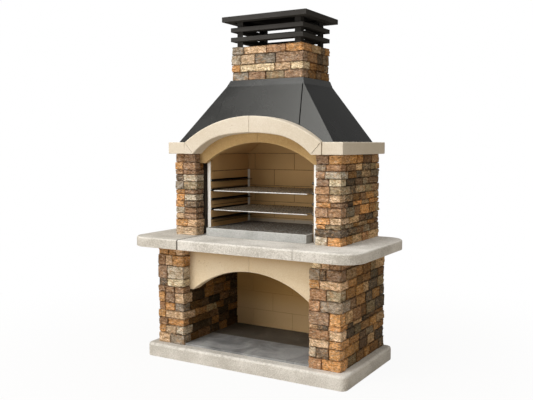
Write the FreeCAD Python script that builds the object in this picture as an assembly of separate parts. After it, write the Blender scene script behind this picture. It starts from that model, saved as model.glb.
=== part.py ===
import FreeCAD, Part
import math
import os
from FreeCAD import Vector

# A masonry barbecue, in millimetres. +Z is up, -Y is the front and X = 0 is the middle.
# The origin is the bottom centre of the whole object.

# Base plinth and wood-store floor; ledges stand out from the lower piers
base_side_ledge = 60.0
base_front_ledge = 64.0
base_back_ledge = 23.0
base_height = 90.0
base_corner = 40.0
base_edge = 16.0
floor_thickness = 12.0
floor_setback = 8.0
floor_joint_y = 25.0

# Lower piers, their back wall and the arched lintel between them
lower_half = 686.0
lower_width = 210.0
lower_front = -317.0
lower_back = 376.0
lower_height = 672.0
lower_wall = 24.0
lower_wall_courses = 5
lintel_setback = 71.0
lintel_depth = 70.0
lintel_rise = 157.0
lintel_crown = 140.0
lintel_foot = 32.0

# Worktop, which overhangs the lower piers, and the hearth slab on it
worktop_side_overhang = 152.0
worktop_front_overhang = 132.0
worktop_back_overhang = 38.0
worktop_thickness = 66.0
worktop_corner = 135.0
worktop_edge = 11.0
worktop_under_edge = 4.0
worktop_joint_ledge = 10.0
hearth_side_gap = 4.0
hearth_setback = 15.0
hearth_thickness = 56.0
hearth_edge = 4.0

# Upper piers and the cream blocks that overhang them
upper_half = 625.0
upper_width = 170.0
upper_front = -195.0
upper_back = 415.0
upper_height = 558.0
upper_inner_facing = 88.0
capital_side_overhang = 29.0
capital_front_overhang = 43.0
capital_back_overhang = 34.0
capital_height = 78.0
capital_edge = 6.0

# Front arch, its springers and the inner arch behind it; lips stand in from the piers
arch_front_overhang = 51.0
arch_depth = 102.0
arch_lip = 14.0
arch_rise = 138.0
arch_crown_half = 200.0
arch_crown_radius = 1340.0
arch_ring = 108.0
arch_edge = 5.0
springer_skew = 69.6
springer_top = 1.0
inner_arch_depth = 36.0
inner_arch_lip = 42.0
inner_arch_foot_drop = 64.0
inner_arch_rise = 141.0
inner_arch_ring = 80.0

# Firebox lining, set in from the piers, and the leaning throat above it
lining_gap = 38.0
lining_thickness = 30.0
lining_front_gap = 6.0
lining_back_inset = 41.0
lining_drop = 2.0
lining_course = 117.0
lining_block = 330.0
shortest_block = 40.0
throat_run_x = 187.0
throat_run_y = 74.0
throat_rise = 108.0

# Grill holder and grills
post_sheet = 3.0
post_leg = 24.0
rear_post_leg = 13.0
rail_count = 5
rail_drop = 186.0
rail_pitch = 65.5
rail_reach = 41.0
rail_sheet = 3.0
rail_lip = 14.0
bolt_across = 10.0
bolt_head = 4.0
bolt_end = 8.0
grill_side_gap = 29.0
grill_front_reach = 24.0
grill_back_gap = 34.0
grill_front_bar = 8.0
grill_bar = 6.0
grill_wire = 4.0
grill_wire_count = 31
grill_cross_bars = 2
grill_upper_level = 1
grill_lower_level = 3

# Hood of folded sheet, set in from the edges of the cream blocks
hood_side_inset = 74.0
hood_front_inset = 25.0
hood_back_inset = 35.0
hood_height = 374.0
hood_sheet = 4.0
hood_seam_base = 336.0
hood_seam_inset = 9.0
hood_top_side_ledge = 25.0
hood_top_front_ledge = 30.0
hood_top_back_ledge = 9.0
collar_height = 42.0
collar_margin = 8.0
collar_plate = 6.0

# Chimney and the cap that overhangs it
chimney_width = 540.0
chimney_front = -22.0
chimney_back = 367.0
chimney_height = 224.0
flue_wall = 40.0
cap_side_overhang = 49.0
cap_front_overhang = 51.0
cap_back_overhang = 39.0
cap_rim = 34.0
cap_sheet = 3.0
cap_flange = 58.0
slat_side_overhang = 5.0
slat_front_overhang = 8.0
slat_width = 32.0
slat_height = 28.0
slat_gap = 36.0
cap_post_leg = 45.0
cap_post_sheet = 4.0

# Facing stones
stone_depth = 24.0
stone_joint = 3.0
stone_relief = 2.0
shortest_stone = 60.0

# Small clearances
block_joint = 1.5
fit_gap = 1.0
slide_gap = 0.3
cut_past = 1.0
same_place = 1e-4
seam_tolerance = 1e-6

# Course heights, top to bottom, and the joints in each front course as fractions of its width
lower_left_courses = [62, 72, 89, 52, 42, 72, 55, 50, 50, 57, 67]
lower_left_joints = [[.40, .69], [.30, .58], [.36], [.35], [.27, .65], [.26, .65],
                     [.24, .65], [.29], [.37], [.26, .68], [.45]]
lower_right_courses = [58, 68, 55, 68, 68, 81, 29, 58, 52, 66, 68]
lower_right_joints = [[.36, .63], [.33, .53], [.33], [.54], [.36], [.64],
                      [.28, .60], [.64], [.64], [.22, .63], [.41]]
upper_left_courses = [58, 53, 31, 46, 56, 31, 46, 46, 41, 41, 51, 58]
upper_left_joints = [[.43], [.38], [.38], [.38], [.40], [.45], [.43], [.41], [.43], [.40], [.58], []]
upper_right_courses = [58, 43, 46, 46, 50, 48, 31, 63, 43, 29, 46, 55]
upper_right_joints = [[.51], [.40], [.38], [.52], [.56], [.54], [.58], [.49], [.55], [.38], [], [.48]]
chimney_courses = [53, 67, 49, 55]
chimney_joints = [[.17, .50, .77], [.13, .34, .63], [.12, .62, .84], [.24, .49, .75]]
side_lengths = [118.0, 92.0, 146.0, 104.0, 128.0, 84.0, 136.0]
corner_returns = [124.0, 62.0, 96.0, 76.0]

# Levels and faces that follow from the sizes above
base_half = lower_half + base_side_ledge
base_front = lower_front - base_front_ledge
base_back = lower_back + base_back_ledge
worktop_half = lower_half + worktop_side_overhang
worktop_front = lower_front - worktop_front_overhang
worktop_back = lower_back + worktop_back_overhang
lower_inner = lower_half - lower_width
upper_inner = upper_half - upper_width
capital_half = upper_half + capital_side_overhang
capital_front = upper_front - capital_front_overhang
capital_back = upper_back + capital_back_overhang
arch_front = upper_front - arch_front_overhang
arch_half_span = upper_inner - arch_lip
inner_arch_half_span = upper_inner - inner_arch_lip
chimney_half = chimney_width / 2
hood_half = capital_half - hood_side_inset
hood_front = capital_front + hood_front_inset
hood_back = capital_back - hood_back_inset
hood_top_half = chimney_half + hood_top_side_ledge
hood_top_front = chimney_front - hood_top_front_ledge
hood_top_back = chimney_back + hood_top_back_ledge
hood_seam_top = hood_top_half - hood_seam_inset
cap_half = chimney_half + cap_side_overhang
cap_front = chimney_front - cap_front_overhang
cap_back = chimney_back + cap_back_overhang
lower_bottom = base_height
worktop_bottom = lower_bottom + lower_height
worktop_top = worktop_bottom + worktop_thickness
hearth_top = worktop_top + hearth_thickness
capital_bottom = worktop_top + upper_height
capital_top = capital_bottom + capital_height
hood_top = capital_top + hood_height
chimney_bottom = hood_top + collar_height
chimney_top = chimney_bottom + chimney_height
lintel_front = lower_front + lintel_setback
lintel_back = lintel_front + lintel_depth
lintel_crown_level = worktop_bottom - lintel_crown
lintel_foot_level = lintel_crown_level - lintel_rise
arch_back = arch_front + arch_depth
arch_crown_level = capital_bottom + arch_rise
arch_top_level = arch_crown_level + arch_ring
inner_arch_front = arch_back + fit_gap
inner_arch_back = inner_arch_front + inner_arch_depth
inner_arch_foot_level = capital_bottom - inner_arch_foot_drop
lining_outer = upper_inner - lining_gap
lining_half = lining_outer - lining_thickness
lining_front = inner_arch_back + lining_front_gap
lining_back = upper_back - lining_back_inset
lining_top = capital_bottom - lining_drop
hearth_half = lining_half - hearth_side_gap
hearth_front = upper_front + hearth_setback
rail_top_level = lining_top - rail_drop
rear_post_top = lining_top - lining_course
grill_half = lining_half - grill_side_gap
grill_front = lining_front - grill_front_reach
grill_back = lining_back - grill_back_gap
worktop_joint_x = lining_outer + worktop_joint_ledge
arch_drop = arch_top_level - capital_top
arch_end_x = arch_half_span + springer_skew
arch_outer_radius = (arch_end_x ** 2 + arch_drop ** 2) / (2.0 * arch_drop)
springer_lean = springer_skew / capital_height
springer_gap = block_joint * math.sqrt(1.0 + springer_lean * springer_lean)
springer_half = arch_end_x + springer_gap + springer_top


def save(name, shape):
    shape.exportStep("parts/" + name + ".step")


def box(x0, y0, z0, x1, y1, z1):
    return Part.makeBox(x1 - x0, y1 - y0, z1 - z0, Vector(x0, y0, z0))


def mirrored(shape):
    return shape.mirror(Vector(0, 0, 0), Vector(1, 0, 0))


def save_pair(name, right_shape):
    save(name + "_right", right_shape)
    save(name + "_left", mirrored(right_shape))


def plan_prism(points, z0, z1):
    corners = [Vector(x, y, z0) for x, y in points]
    face = Part.Face(Part.makePolygon(corners + corners[:1]))
    return face.extrude(Vector(0, 0, z1 - z0))


def front_prism(points, y0, y1):
    corners = [Vector(x, y0, z) for x, z in points]
    face = Part.Face(Part.makePolygon(corners + corners[:1]))
    return face.extrude(Vector(0, y1 - y0, 0))


def side_prism(points, x0, x1):
    corners = [Vector(x0, y, z) for y, z in points]
    face = Part.Face(Part.makePolygon(corners + corners[:1]))
    return face.extrude(Vector(x1 - x0, 0, 0))


def front_line(p, q, y):
    return Part.makeLine(Vector(p[0], y, p[1]), Vector(q[0], y, q[1]))


def front_arc(p, m, q, y):
    return Part.Arc(Vector(p[0], y, p[1]), Vector(m[0], y, m[1]), Vector(q[0], y, q[1])).toShape()


def level_edges(shape, z):
    return [e for e in shape.Edges if abs(e.BoundBox.ZMin - z) < same_place and abs(e.BoundBox.ZMax - z) < same_place]


def upright_edges(shape):
    found = []
    for e in shape.Edges:
        b = e.BoundBox
        if b.XLength < same_place and b.YLength < same_place:
            found.append(e)
    return found


def face_edges(shape, y):
    return [e for e in shape.Edges if abs(e.BoundBox.YMin - y) < same_place and abs(e.BoundBox.YMax - y) < same_place]


def round_rim(shape, level, radius):
    # A rounded upper rim in three flat bands that touch the round.
    first = radius * (2.0 - math.sqrt(2.0))
    second = radius * (math.tan(math.pi / 8) - math.tan(math.pi / 16))
    shape = shape.makeChamfer(first, level_edges(shape, level))
    return shape.makeChamfer(second, level_edges(shape, level) + level_edges(shape, level - first))


def slab(x_half, y0, y1, z0, z1, corner):
    shape = box(-x_half, y0, z0, x_half, y1, z1)
    return shape.makeFillet(corner, upright_edges(shape))


def circle_drop(radius, x):
    return radius - math.sqrt(radius * radius - x * x)


def chord_radius(half, rise):
    return (half * half + rise * rise) / (2.0 * rise)


def frustum(half0, front0, back0, z0, half1, front1, back1, z1):
    low = [Vector(x, y, z0) for x, y in ((-half0, front0), (half0, front0), (half0, back0), (-half0, back0))]
    high = [Vector(x, y, z1) for x, y in ((-half1, front1), (half1, front1), (half1, back1), (-half1, back1))]
    outlines = [low, high]
    for k in range(4):
        n = (k + 1) % 4
        outlines.append([low[k], low[n], high[n], high[k]])
    faces = [Part.Face(Part.makePolygon(outline + outline[:1])) for outline in outlines]
    solid = Part.Solid(Part.Shell(faces))
    solid.fixTolerance(seam_tolerance)
    return solid if solid.Volume > 0 else solid.reversed()


def course_spans(top, height, weights):
    spans = []
    scale = height / sum(weights)
    z_high = top
    for weight in weights:
        z_low = z_high - weight * scale
        spans.append((z_low, z_high))
        z_high = z_low
    return spans


def relief(i, j):
    return stone_relief * ((5 * i + 3 * j) % 3 - 1)


def inner_pieces(z_low, z_high, start, end, foot, notch0, notch1):
    # Stretches of an inner face that stay clear of the block whose foot rests in it.
    if z_high <= foot:
        return [(start, end, z_low, z_high)]
    pieces = [(start, notch0 - fit_gap, z_low, z_high)]
    if end > notch1 + 2 * stone_depth:
        pieces.append((notch1 + fit_gap, end, z_low, z_high))
    if foot - z_low > stone_depth:
        pieces.append((notch0 - fit_gap + stone_joint, min(end, notch1), z_low, foot - stone_joint))
    return pieces


def front_course(x0, x1, y, i, joints, left_return, right_return, z0, z1):
    # One course of a front: the end stones turn the corners, and the others are flat.
    stones = []
    cuts = [0.0] + joints + [1.0]
    last = len(cuts) - 2
    for k in range(last + 1):
        a = x0 + cuts[k] * (x1 - x0) + stone_joint / 2
        b = x0 + cuts[k + 1] * (x1 - x0) - stone_joint / 2
        r = relief(i, k)
        inner = y + stone_depth
        points = []
        if k == 0:
            points += [(x0 + stone_depth, inner), (x0 + stone_depth, y + left_return)]
            points += [(x0 - r, y + left_return), (x0 - r, y - r)]
        else:
            points += [(a, inner), (a, y - r)]
        if k == last:
            points += [(x1 + r, y - r), (x1 + r, y + right_return)]
            points += [(x1 - stone_depth, y + right_return), (x1 - stone_depth, inner)]
        else:
            points += [(b, y - r), (b, inner)]
        stones.append(plan_prism(points, z0, z1))
    return stones


def side_course(x, outward, y0, y1, i, z0, z1):
    # One course of a side face, from y0 back to y1; outward is +1 or -1 along X.
    stones = []
    y = y0
    k = 0
    while y < y1 - same_place:
        end = y + side_lengths[(2 * i + k) % len(side_lengths)]
        if y1 - end < shortest_stone:
            end = y1
        r = relief(i, k + 1)
        xs = sorted((x - outward * stone_depth, x + outward * r))
        stones.append(box(xs[0], y, z0, xs[1], end, z1))
        y = end + stone_joint
        k += 1
    return stones


def pier_stones(x0, x1, y0, y1, spans, joints, left_inner, foot, notch0, notch1, inner_end):
    stones = []
    for i, (z_low, z_high) in enumerate(spans):
        z0 = z_low if i == len(spans) - 1 else z_low + stone_joint / 2
        z1 = z_high - stone_joint / 2
        pieces = inner_pieces(z0, z1, y0, inner_end, foot, notch0, notch1)
        turn = corner_returns[i % len(corner_returns)]
        inner_turn = min(corner_returns[(i + 1) % len(corner_returns)], pieces[0][1] - y0)
        if pieces[0][1] - y0 - inner_turn < shortest_stone:
            inner_turn = pieces[0][1] - y0
        left_turn = inner_turn if left_inner else turn
        right_turn = turn if left_inner else inner_turn
        stones += front_course(x0, x1, y0, i, joints[i], left_turn, right_turn, z0, z1)
        outer_x = x1 if left_inner else x0
        inner_x = x0 if left_inner else x1
        outward = 1 if left_inner else -1
        stones += side_course(outer_x, outward, y0 + turn + stone_joint, y1, i, z0, z1)
        for k, (ya, yb, za, zb) in enumerate(pieces):
            start = ya + inner_turn + stone_joint if k == 0 else ya
            stones += side_course(inner_x, -outward, start, yb, i + 3, za, zb)
    return Part.makeCompound(stones)


def block_wall(start, end, z0, z1, course, length, make):
    # Courses from the top down; make(a, b, low, high) builds one block. A wall longer than
    # its blocks is laid in running bond.
    blocks = []
    high = z1
    i = 0
    while high - z0 > same_place:
        low = high - course
        if low - z0 < course / 4:
            low = z0
        shift = 0.0 if i % 2 == 0 else length / 2
        middle = (start + end) / 2
        joints = [middle + shift + n * length for n in range(-4, 5) if length < end - start]
        joints = [start] + [j for j in joints if start + shortest_block < j < end - shortest_block] + [end]
        for a, b in zip(joints[:-1], joints[1:]):
            a2 = a if a == start else a + block_joint / 2
            b2 = b if b == end else b - block_joint / 2
            blocks.append(make(a2, b2, low, high))
        high = low
        i += 1
    return Part.makeCompound(blocks)


def bar(start, end, across):
    # A six-sided rod with flats underneath and on top.
    run = end.sub(start)
    sideways = Vector(0, 0, 1).cross(run)
    sideways.normalize()
    radius = across / math.sqrt(3.0)
    corners = []
    for n in range(6):
        angle = math.radians(60 * n)
        offset = Vector(sideways).multiply(radius * math.cos(angle))
        corners.append(start.add(offset).add(Vector(0, 0, radius * math.sin(angle))))
    return Part.Face(Part.makePolygon(corners + corners[:1])).extrude(run)


def make_base():
    plinth = slab(base_half, base_front, base_back, 0.0, base_height, base_corner)
    save("base_plinth", round_rim(plinth, base_height, base_edge))
    half = lower_inner - stone_relief - fit_gap
    top = base_height + floor_thickness
    front = lower_front + floor_setback
    back = lower_back - lower_wall - fit_gap
    mid = floor_joint_y
    save("floor_front", box(-half, front, base_height, half, mid - fit_gap, top))
    save("floor_rear", box(-half, mid + fit_gap, base_height, half, back, top))


def make_lower_piers():
    core_in = lower_inner + stone_depth
    core_out = lower_half - stone_depth
    core = box(core_in, lower_front + stone_depth, lower_bottom, core_out, lower_back, worktop_bottom)
    save_pair("lower_core", core)
    sides = (("right", lower_inner, lower_half, True, lower_right_courses, lower_right_joints),
             ("left", -lower_half, -lower_inner, False, lower_left_courses, lower_left_joints))
    for name, x0, x1, left_inner, weights, joints in sides:
        spans = course_spans(worktop_bottom, lower_height, weights)
        stones = pier_stones(x0, x1, lower_front, lower_back, spans, joints, left_inner,
                             lintel_foot_level, lintel_front, lintel_back, lower_back - lower_wall - fit_gap)
        save("lower_stones_" + name, stones)


def make_lower_wall():
    half = lower_inner + stone_depth
    course = lower_height / lower_wall_courses

    def make(a, b, low, high):
        return box(a, lower_back - lower_wall, low, b, lower_back, high)

    wall = block_wall(-half, half, lower_bottom, worktop_bottom, course, lining_block, make)
    save("lower_back_wall", wall)


def make_lintel():
    y = lintel_front
    gap = block_joint / 2
    end = lower_inner + stone_depth
    half = lower_inner - lintel_foot
    radius = chord_radius(half, lintel_rise)
    mid = half / 2
    crown = (gap, lintel_crown_level - circle_drop(radius, gap))
    haunch = (mid, lintel_crown_level - circle_drop(radius, mid))
    spring = (half, lintel_foot_level)
    foot = (end, lintel_foot_level)
    top_out = (end, worktop_bottom)
    top_in = (gap, worktop_bottom)
    edges = [front_arc(crown, haunch, spring, y), front_line(spring, foot, y), front_line(foot, top_out, y)]
    edges += [front_line(top_out, top_in, y), front_line(top_in, crown, y)]
    shape = Part.Face(Part.Wire(edges)).extrude(Vector(0, lintel_depth, 0))
    arc_edge = [e for e in face_edges(shape, y) if e.BoundBox.ZMax < lintel_crown_level + arch_edge]
    arc_edge = [e for e in arc_edge if e.BoundBox.XLength > half / 2]
    save_pair("lower_arch", shape.makeChamfer(arch_edge, arc_edge))


def make_worktop():
    whole = slab(worktop_half, worktop_front, worktop_back, worktop_bottom, worktop_top, worktop_corner)
    whole = round_rim(whole, worktop_top, worktop_edge)
    whole = whole.makeChamfer(worktop_under_edge, level_edges(whole, worktop_bottom))
    reach = 2 * worktop_half
    cut = worktop_joint_x
    gap = fit_gap
    middle = box(-cut + gap, -reach, 0.0, cut - gap, reach, worktop_top + gap)
    outer = box(cut + gap, -reach, 0.0, reach, reach, worktop_top + gap)
    save("worktop_centre", whole.common(middle))
    save_pair("worktop", whole.common(outer))


def make_hearth():
    shape = box(-hearth_half, hearth_front, worktop_top, hearth_half, lining_back - fit_gap, hearth_top)
    save("hearth_slab", shape.makeFillet(hearth_edge, level_edges(shape, hearth_top)))


def make_upper_piers():
    core_in = upper_inner + stone_depth
    core_out = upper_half - stone_depth
    core = box(core_in, upper_front + stone_depth, worktop_top, core_out, upper_back, capital_bottom)
    save_pair("upper_core", core)
    sides = (("right", upper_inner, upper_half, True, upper_right_courses, upper_right_joints),
             ("left", -upper_half, -upper_inner, False, upper_left_courses, upper_left_joints))
    for name, x0, x1, left_inner, weights, joints in sides:
        spans = course_spans(capital_bottom, upper_height, weights)
        stones = pier_stones(x0, x1, upper_front, upper_back, spans, joints, left_inner,
                             inner_arch_foot_level, inner_arch_front, inner_arch_back,
                             upper_front + upper_inner_facing)
        save("upper_stones_" + name, stones)


def make_front_arch():
    y = arch_front
    gap = block_joint / 2
    seat = capital_bottom
    # The crown arc runs into a tighter haunch arc that is tangent to it.
    joint_x = arch_crown_half
    joint_z = arch_crown_level - circle_drop(arch_crown_radius, joint_x)
    sine = joint_x / arch_crown_radius
    cosine = math.sqrt(1.0 - sine * sine)
    run = arch_half_span - joint_x
    fall = joint_z - seat
    radius = (run * run + fall * fall) / (2.0 * (fall * cosine - run * sine))
    centre_x = joint_x - radius * sine
    centre_z = joint_z - radius * cosine
    mid_x = joint_x + run / 2
    mid_z = centre_z + math.sqrt(radius * radius - (mid_x - centre_x) ** 2)
    half_x = joint_x / 2
    crown = (gap, arch_crown_level - circle_drop(arch_crown_radius, gap))
    near = (half_x, arch_crown_level - circle_drop(arch_crown_radius, half_x))
    joint = (joint_x, joint_z)
    spring = (arch_half_span, seat)
    shoulder = (arch_end_x, capital_top)
    outer_mid = (arch_end_x / 2, arch_top_level - circle_drop(arch_outer_radius, arch_end_x / 2))
    top = (gap, arch_top_level - circle_drop(arch_outer_radius, gap))
    edges = [front_arc(crown, near, joint, y), front_arc(joint, (mid_x, mid_z), spring, y)]
    edges += [front_line(spring, shoulder, y), front_arc(shoulder, outer_mid, top, y)]
    edges.append(front_line(top, crown, y))
    shape = Part.Face(Part.Wire(edges)).extrude(Vector(0, arch_depth, 0))
    rounded = [e for e in face_edges(shape, y) if e.BoundBox.XLength > arch_half_span / 4]
    save_pair("front_arch", shape.makeChamfer(arch_edge, rounded))
    points = [(arch_half_span + springer_gap, seat), (springer_half, seat)]
    points += [(springer_half, capital_top), (arch_end_x + springer_gap, capital_top)]
    save_pair("springer", front_prism(points, y, arch_back))


def make_capitals():
    x0 = springer_half + block_joint
    shape = box(x0, capital_front, capital_bottom, capital_half, capital_back, capital_top)
    rounded = [e for e in shape.Edges if e.BoundBox.XMin > capital_half - same_place]
    save_pair("capital", shape.makeChamfer(capital_edge, rounded))


def make_inner_arch():
    y = inner_arch_front
    gap = block_joint / 2
    end = upper_inner + stone_depth
    half = inner_arch_half_span
    foot = inner_arch_foot_level
    crown_level = foot + inner_arch_rise
    radius = chord_radius(half, inner_arch_rise)
    crown = (gap, crown_level - circle_drop(radius, gap))
    haunch = (half / 2, crown_level - circle_drop(radius, half / 2))
    spring = (half, foot)
    toe = (end, foot)
    side_top = (end, capital_bottom)
    top = crown_level + inner_arch_ring
    shoulder = (end - (top - capital_bottom), top)
    top_in = (gap, top)
    edges = [front_arc(crown, haunch, spring, y), front_line(spring, toe, y), front_line(toe, side_top, y)]
    edges += [front_line(side_top, shoulder, y), front_line(shoulder, top_in, y)]
    edges.append(front_line(top_in, crown, y))
    save_pair("inner_arch", Part.Face(Part.Wire(edges)).extrude(Vector(0, inner_arch_depth, 0)))


def make_lining():
    x0 = lining_half
    x1 = lining_outer

    def side_block(a, b, low, high):
        return box(x0, a, low, x1, b, high)

    def back_block(a, b, low, high):
        return box(a, lining_back, low, b, lining_back + lining_thickness, high)

    slab = lining_back - lining_front
    side = block_wall(lining_front, lining_back, worktop_top, lining_top, lining_course, slab, side_block)
    save_pair("lining", side)
    closed = upper_inner + stone_depth
    wall = block_wall(-closed, closed, worktop_top, lining_top, lining_course, lining_block, back_block)
    save("lining_back", wall)
    foot = lining_top
    top = foot + throat_rise
    slope = throat_rise / throat_run_y
    thick_z = lining_thickness * math.sqrt(1.0 + slope * slope)
    y0 = lining_back
    y1 = lining_back + lining_thickness
    step = (thick_z - lining_thickness * slope)
    back = [(y0, foot), (y1, foot), (y1, foot + step), (y1 - throat_run_y, foot + step + throat_rise)]
    back.append((y0 - throat_run_y, top))
    save("throat_back", side_prism(back, -x1, x1))
    slope = throat_rise / throat_run_x
    thick_z = lining_thickness * math.sqrt(1.0 + slope * slope)
    step = thick_z - lining_thickness * slope
    points = [(x0, foot), (x1, foot), (x1, foot + step)]
    points += [(x1 - throat_run_x, foot + step + throat_rise), (x0 - throat_run_x, top)]
    leaf = front_prism(points, lining_front, lining_back)
    rise = 2 * throat_rise
    past = y0 + throat_run_y
    behind = [(y0 - fit_gap, foot - fit_gap), (past, foot - fit_gap), (past, foot + rise)]
    behind += [(y0 - fit_gap - rise * throat_run_y / throat_rise, foot + rise), (y0 - fit_gap, foot)]
    save_pair("throat", leaf.cut(side_prism(behind, -2 * x1, 2 * x1)))


def hex_head(centre, sideways, out):
    # A screw head of bolt_across over its corners, standing bolt_head out from centre.
    corners = []
    for n in range(7):
        angle = math.radians(60 * n)
        along = Vector(sideways).multiply(bolt_across / 2 * math.cos(angle))
        corners.append(centre.add(along).add(Vector(0, 0, bolt_across / 2 * math.sin(angle))))
    return Part.Face(Part.makePolygon(corners)).extrude(Vector(out).multiply(bolt_head))


def make_grill_holder():
    # Front posts clasp the outer front edge of the lining; rear posts stand in its corners.
    front = lining_front - fit_gap - post_sheet
    x0 = lining_outer + fit_gap
    x1 = x0 + post_sheet
    inner = x1 - post_leg
    angle = [(inner, front), (x1, front), (x1, front + post_leg), (x0, front + post_leg)]
    angle += [(x0, front + post_sheet), (inner, front + post_sheet)]
    save_pair("front_post", plan_prism(angle, worktop_top, lining_top))
    back = lining_back
    leg = rear_post_leg
    x1 = lining_half
    x0 = x1 - post_sheet
    angle = [(x1, back), (x1 - leg, back), (x1 - leg, back - post_sheet)]
    angle += [(x0, back - post_sheet), (x0, back - leg), (x1, back - leg)]
    save_pair("rear_post", plan_prism(angle, hearth_top, rear_post_top))
    # Each rail is an angle on the lining; a tab at its front end laps the lining's edge.
    rails = []
    bolts = []
    wall = lining_half - rail_sheet
    edge = lining_half - rail_reach
    y0 = lining_front - rail_sheet
    y1 = back - leg - fit_gap
    tab_end = inner - fit_gap
    for n in range(rail_count):
        level = rail_top_level - n * rail_pitch
        low = level - rail_sheet
        high = level + rail_lip
        section = [(lining_half, low), (lining_half, high), (wall, high)]
        section += [(wall, level), (edge, level), (edge, low)]
        tab = box(lining_half, y0, low, tab_end, lining_front, high)
        rails.append(front_prism(section, y0, y1).fuse(tab).removeSplitter())
        middle = level + rail_lip / 2
        bolts.append(hex_head(Vector((wall + tab_end) / 2, y0, middle), Vector(1, 0, 0), Vector(0, -1, 0)))
        bolts.append(hex_head(Vector(wall, y1 - bolt_end, middle), Vector(0, 1, 0), Vector(-1, 0, 0)))
    save_pair("rails", Part.makeCompound(rails))
    save("rail_bolts", Part.makeCompound(bolts + [mirrored(b) for b in bolts]))


def make_grill(name, level_index):
    seat = rail_top_level - level_index * rail_pitch + slide_gap
    middle = seat + grill_bar - grill_front_bar / 2
    half = grill_half
    y0 = grill_front + grill_front_bar / 2
    y1 = grill_back - grill_bar / 2
    side = half - grill_bar / 2
    pieces = [bar(Vector(-half, y0, middle), Vector(half, y0, middle), grill_front_bar)]
    low = seat + grill_bar / 2
    pieces.append(bar(Vector(-half, y1, low), Vector(half, y1, low), grill_bar))
    for x in (-side, side):
        pieces.append(bar(Vector(x, y0, low), Vector(x, y1, low), grill_bar))
    # The cross bars end at the ridges of the side bars and carry the wires.
    step = (y1 - y0) / (grill_cross_bars + 1)
    reach = side - grill_bar / math.sqrt(3.0)
    under = []
    for n in range(1, grill_cross_bars + 1):
        under.append(bar(Vector(-reach, y0 + n * step, low), Vector(reach, y0 + n * step, low), grill_bar))
    wire_z = seat + grill_bar + grill_wire / 2
    pitch = 2 * side / (grill_wire_count + 1)
    for n in range(1, grill_wire_count + 1):
        x = -side + n * pitch
        pieces.append(bar(Vector(x, y0, wire_z), Vector(x, y1 + grill_bar, wire_z), grill_wire))
    save(name, Part.makeCompound([pieces[0].multiFuse(pieces[1:])] + under))


def make_hood():
    z0 = capital_top
    z1 = hood_top
    t = hood_sheet
    outer = frustum(hood_half, hood_front, hood_back, z0, hood_top_half, hood_top_front, hood_top_back, z1)
    inner = frustum(hood_half - t, hood_front + t, hood_back - t, z0,
                    hood_top_half - t, hood_top_front + t, hood_top_back - t, z1)
    shell = outer.cut(inner)
    # Room for the front arch: everything below its outer curve.
    centre_z = arch_top_level - arch_outer_radius
    depth = 3 * arch_depth
    room = Part.makeCylinder(arch_outer_radius + fit_gap, depth, Vector(0, arch_back - depth / 2, centre_z),
                             Vector(0, 1, 0))
    keep = box(-springer_half, arch_front - arch_depth, z0 - fit_gap,
               springer_half, inner_arch_back + inner_arch_depth, hood_top)
    shell = shell.cut(room.common(keep))
    panel = [(-hood_seam_base, z0), (hood_seam_base, z0), (hood_seam_top, z1), (-hood_seam_top, z1)]
    seam = front_prism(panel, hood_front - arch_depth, 0.0)
    wide = front_prism([(-hood_seam_base - fit_gap, z0), (hood_seam_base + fit_gap, z0),
                        (hood_seam_top + fit_gap, z1), (-hood_seam_top - fit_gap, z1)],
                       hood_front - arch_depth, 0.0)
    past = hood_back + capital_back_overhang
    rear = [(hood_back - t, z0), (past, z0), (past, z1), (hood_top_back - t, z1)]
    rear_prism = side_prism(rear, -2 * hood_half, 2 * hood_half)
    save("hood_front", shell.common(seam))
    skirt = box(-springer_half, hood_back - t, capital_bottom, springer_half, hood_back, z0)
    save("hood_back", shell.common(rear_prism).fuse(skirt).removeSplitter())
    right = box(0.0, hood_front, z0, hood_half, hood_back, z1)
    save_pair("hood_side", shell.cut(rear_prism).cut(wide).common(right))
    margin = collar_margin
    plate = collar_plate
    collar = frustum(hood_top_half, hood_top_front, hood_top_back, z1, chimney_half + margin,
                     chimney_front - margin, chimney_back + margin / 2, chimney_bottom)
    hollow = frustum(hood_top_half - t, hood_top_front + t, hood_top_back - t, z1, chimney_half + margin - t,
                     chimney_front - margin + t, chimney_back + margin / 2 - t, chimney_bottom - plate)
    inset = stone_depth + flue_wall
    flue = box(-chimney_half + inset, chimney_front + inset, z1,
               chimney_half - inset, chimney_back - inset, chimney_bottom + cut_past)
    save("hood_collar", collar.cut(hollow).cut(flue))


def make_chimney():
    d = stone_depth
    x = chimney_half - d
    y0 = chimney_front + d
    y1 = chimney_back - d
    w = flue_wall
    core = box(-x, y0, chimney_bottom, x, y1, chimney_top)
    flue = box(-x + w, y0 + w, chimney_bottom - cut_past, x - w, y1 - w, chimney_top + cut_past)
    save("chimney_core", core.cut(flue))
    stones = []
    spans = course_spans(chimney_top, chimney_height, chimney_courses)
    for i, (z_low, z_high) in enumerate(spans):
        z0 = z_low if i == len(spans) - 1 else z_low + stone_joint / 2
        z1 = z_high - stone_joint / 2
        turn = corner_returns[i % len(corner_returns)]
        stones += front_course(-chimney_half, chimney_half, chimney_front, i,
                               chimney_joints[i], turn, turn, z0, z1)
        turn_back = corner_returns[(i + 1) % len(corner_returns)]
        behind = front_course(-chimney_half, chimney_half, chimney_front, i + 1,
                              chimney_joints[i], turn_back, turn_back, z0, z1)
        middle = (chimney_front + chimney_back) / 2
        stones += [s.mirror(Vector(0, middle, 0), Vector(0, 1, 0)) for s in behind]
        for outward in (-1, 1):
            stones += side_course(outward * chimney_half, outward, chimney_front + turn + stone_joint,
                                  chimney_back - turn_back - stone_joint, i + outward + 1, z0, z1)
    save("chimney_stones", Part.makeCompound(stones))


def ring(half, y0, y1, width, z0, z1):
    return box(-half, y0, z0, half, y1, z1).cut(
        box(-half + width, y0 + width, z0 - cut_past, half - width, y1 - width, z1 + cut_past))


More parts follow.
